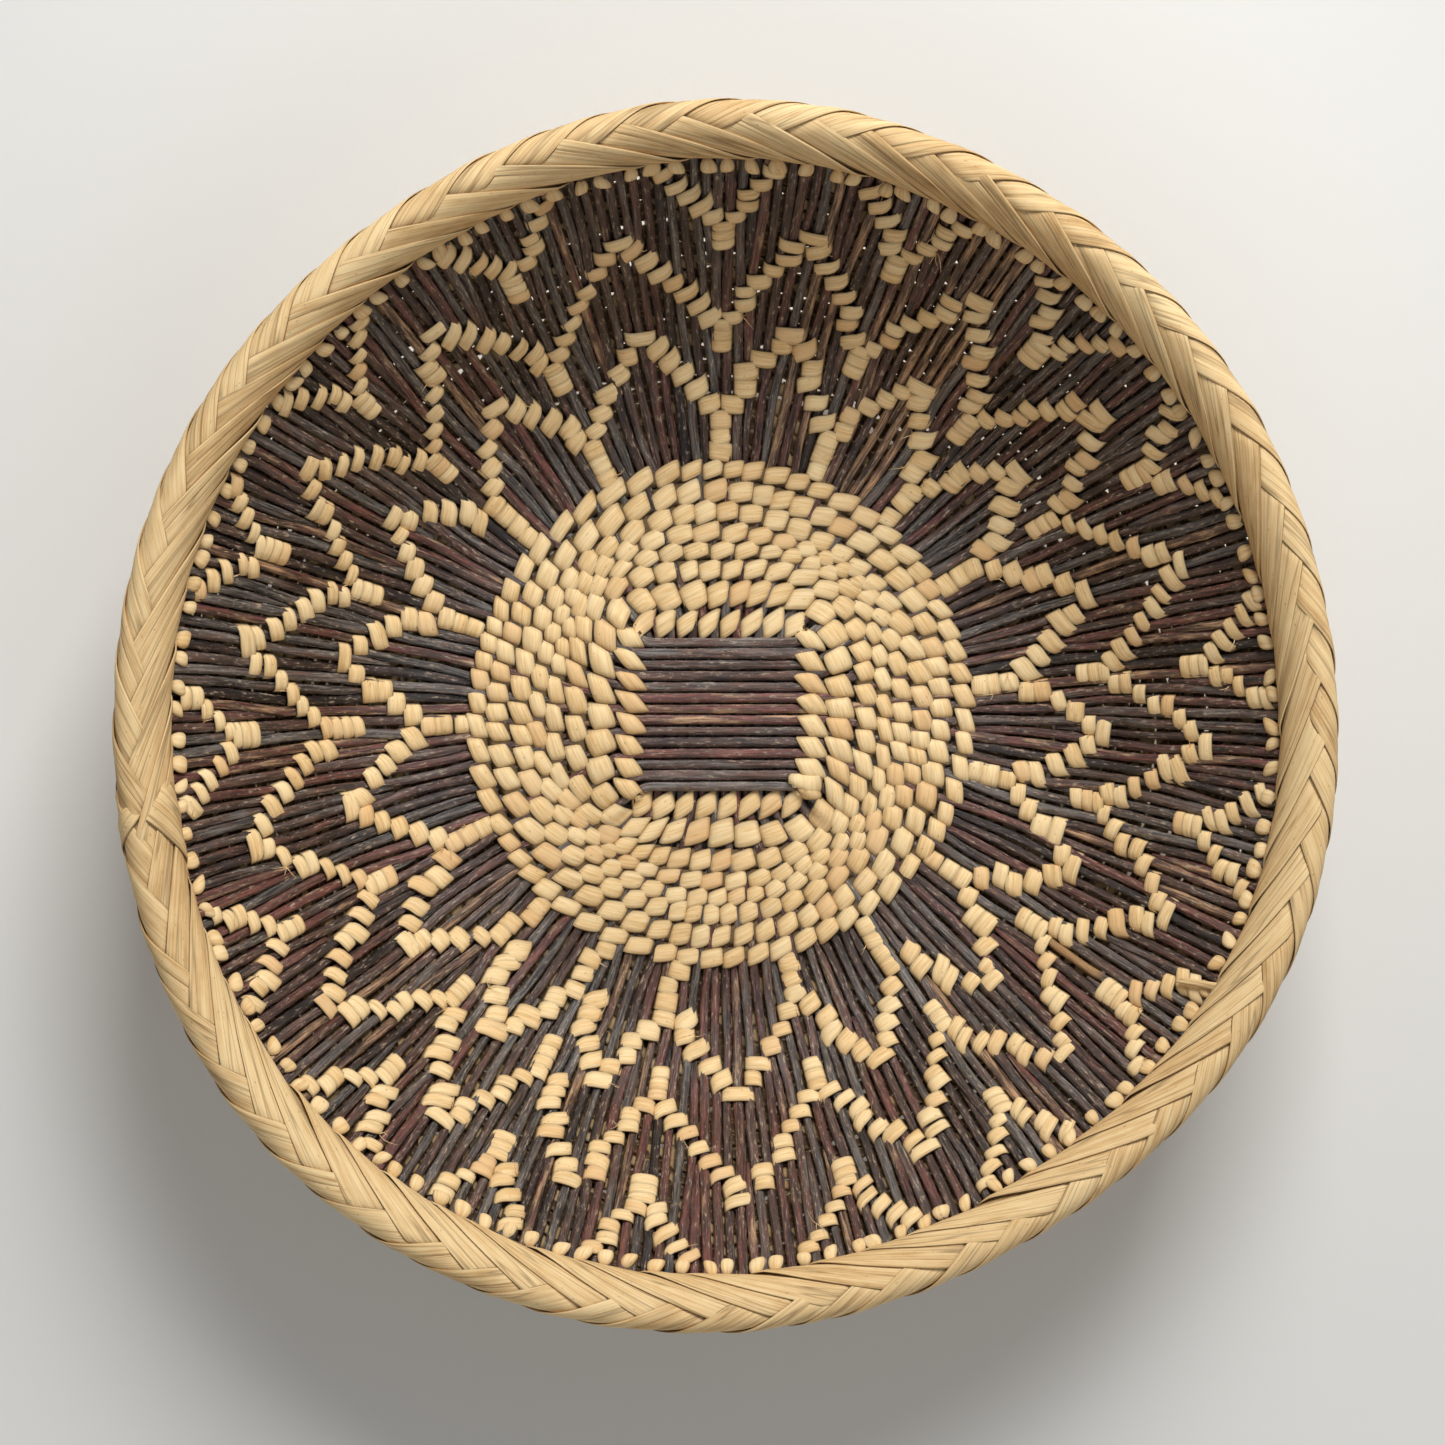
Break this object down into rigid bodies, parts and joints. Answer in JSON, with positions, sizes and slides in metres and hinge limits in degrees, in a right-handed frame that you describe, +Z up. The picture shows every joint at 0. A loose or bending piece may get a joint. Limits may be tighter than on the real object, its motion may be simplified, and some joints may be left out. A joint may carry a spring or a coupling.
{
  "type": "winnowing basket",
  "caption": "Shallow round winnowing basket of thin dark sticks twined with pale palm strip, with a plaited palm-leaf rim.",
  "frame": {"origin": "centre of the basket's floor, on the surface that it rests on", "axes": "+Z up through the mouth along the bowl's axis, +X along the sticks that lie across the centre, +Y along the sticks that run down it"},
  "size_m": [0.36, 0.36, 0.0849],
  "materials": {
    "dark_bark": "thin peeled and unpeeled sticks, dull dark bark",
    "palm_weft": "split palm leaf, matte",
    "palm_binding": "wide palm leaf, satin",
    "hoop_wood": "split wood, raw"
  },
  "bodies": {
    "root": {"across_stick_01": "dark_bark", "across_stick_02": "dark_bark", "across_stick_03": "dark_bark", "across_stick_04": "dark_bark", "across_stick_05": "dark_bark", "across_stick_06": "dark_bark", "across_stick_07": "dark_bark", "across_stick_08": "dark_bark", "across_stick_09": "dark_bark", "across_stick_10": "dark_bark", "across_stick_11": "dark_bark", "across_stick_12": "dark_bark", "across_stick_13": "dark_bark", "across_stick_14": "dark_bark", "down_stick_01": "dark_bark", "down_stick_02": "dark_bark", "down_stick_03": "dark_bark", "down_stick_04": "dark_bark", "down_stick_05": "dark_bark", "down_stick_06": "dark_bark", "down_stick_07": "dark_bark", "down_stick_08": "dark_bark", "down_stick_09": "dark_bark", "down_stick_10": "dark_bark", "down_stick_11": "dark_bark", "down_stick_12": "dark_bark", "down_stick_13": "dark_bark", "down_stick_14": "dark_bark", "floor_weft_row_01": "palm_weft", "floor_weft_row_02": "palm_weft", "floor_weft_row_03": "palm_weft", "floor_weft_row_04": "palm_weft", "floor_weft_row_05": "palm_weft", "floor_weft_row_06": "palm_weft", "floor_weft_row_07": "palm_weft", "floor_weft_row_08": "palm_weft", "wall_weft_row_01": "palm_weft", "wall_weft_row_02": "palm_weft", "wall_weft_row_03": "palm_weft", "wall_weft_row_04": "palm_weft", "wall_weft_row_05": "palm_weft", "wall_weft_row_06": "palm_weft", "wall_weft_row_07": "palm_weft", "wall_weft_row_08": "palm_weft", "wall_weft_row_09": "palm_weft", "wall_weft_row_10": "palm_weft", "wall_weft_row_11": "palm_weft", "wall_weft_row_12": "palm_weft", "wall_weft_row_13": "palm_weft", "wall_weft_row_14": "palm_weft", "wall_weft_row_15": "palm_weft", "wall_weft_row_16": "palm_weft", "wall_weft_row_17": "palm_weft", "wall_weft_row_18": "palm_weft", "wall_weft_row_19": "palm_weft", "wall_weft_row_20": "palm_weft", "wall_weft_row_21": "palm_weft", "inner_rim_hoop": "hoop_wood", "outer_rim_hoop": "hoop_wood", "rim_binding": "palm_binding"}
  },
  "joints": []
}
